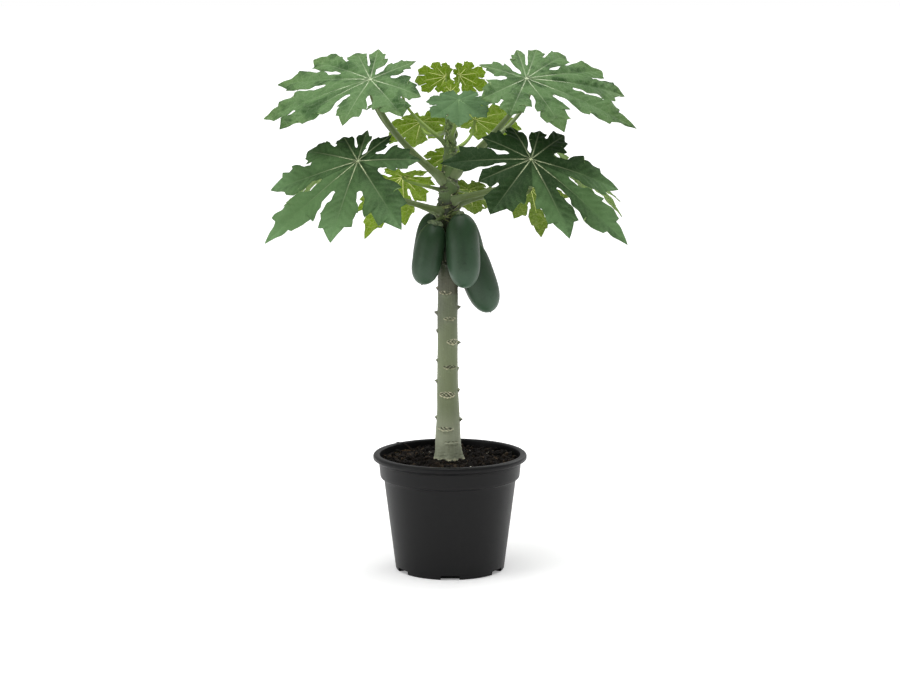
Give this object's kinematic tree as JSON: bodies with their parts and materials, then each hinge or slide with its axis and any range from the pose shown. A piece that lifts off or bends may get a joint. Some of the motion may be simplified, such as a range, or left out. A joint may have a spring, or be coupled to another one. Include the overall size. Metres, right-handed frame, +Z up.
{
  "type": "potted papaya tree",
  "caption": "Young fruiting papaya tree with long-stalked lobed leaves round a bare ringed trunk, standing in a round black nursery pot of soil.",
  "frame": {"origin": "centre of the pot's flat underside", "axes": "+Z up along the trunk, -Y towards the front of the crown"},
  "size_m": [0.9378, 0.8666, 1.3499],
  "materials": {
    "pot_plastic": "satin moulded plastic",
    "potting_mix": "loose dark peat and bark",
    "bark": "smooth grey-green bark with leaf scars",
    "leaf_stalk": "smooth green stalk",
    "fruit_skin": "waxy dark green skin",
    "leaf_blade": "matt green leaf with pale veins"
  },
  "bodies": {
    "root": {"pot": "pot_plastic", "soil": "potting_mix", "trunk": "bark", "fruit_front_left": "fruit_skin", "fruit_front_right": "fruit_skin", "fruit_right": "fruit_skin", "fruit_back_left": "fruit_skin", "fruit_back_right": "fruit_skin", "leaf_stalk_upper_front_left": "leaf_stalk", "leaf_stalk_upper_front_right": "leaf_stalk", "leaf_stalk_lower_front_left": "leaf_stalk", "leaf_stalk_lower_front_right": "leaf_stalk", "leaf_stalk_centre_front": "leaf_stalk", "leaf_stalk_top_left": "leaf_stalk", "leaf_stalk_top_middle": "leaf_stalk", "leaf_stalk_top_right": "leaf_stalk", "leaf_stalk_upper_left": "leaf_stalk", "leaf_stalk_middle_back_left": "leaf_stalk", "leaf_stalk_middle_back_right": "leaf_stalk", "leaf_stalk_upper_back_left": "leaf_stalk", "leaf_stalk_upper_back_right": "leaf_stalk", "leaf_stalk_back": "leaf_stalk", "leaf_stalk_inner_back": "leaf_stalk", "leaf_stalk_lower_back_left": "leaf_stalk", "leaf_stalk_inner_back_right": "leaf_stalk", "leaf_stalk_lower_back_right": "leaf_stalk", "leaf_stalk_lower_left": "leaf_stalk", "leaf_stalk_lower_right": "leaf_stalk", "leaf_blade_upper_front_left": "leaf_blade", "leaf_blade_upper_front_right": "leaf_blade", "leaf_blade_lower_front_left": "leaf_blade", "leaf_blade_lower_front_right": "leaf_blade", "leaf_blade_centre_front": "leaf_blade", "leaf_blade_top_left": "leaf_blade", "leaf_blade_top_middle": "leaf_blade", "leaf_blade_top_right": "leaf_blade", "leaf_blade_upper_left": "leaf_blade", "leaf_blade_middle_back_left": "leaf_blade", "leaf_blade_middle_back_right": "leaf_blade", "leaf_blade_upper_back_left": "leaf_blade", "leaf_blade_upper_back_right": "leaf_blade", "leaf_blade_back": "leaf_blade", "leaf_blade_inner_back": "leaf_blade", "leaf_blade_lower_back_left": "leaf_blade", "leaf_blade_inner_back_right": "leaf_blade", "leaf_blade_lower_back_right": "leaf_blade", "leaf_blade_lower_left": "leaf_blade", "leaf_blade_lower_right": "leaf_blade"}
  },
  "joints": []
}
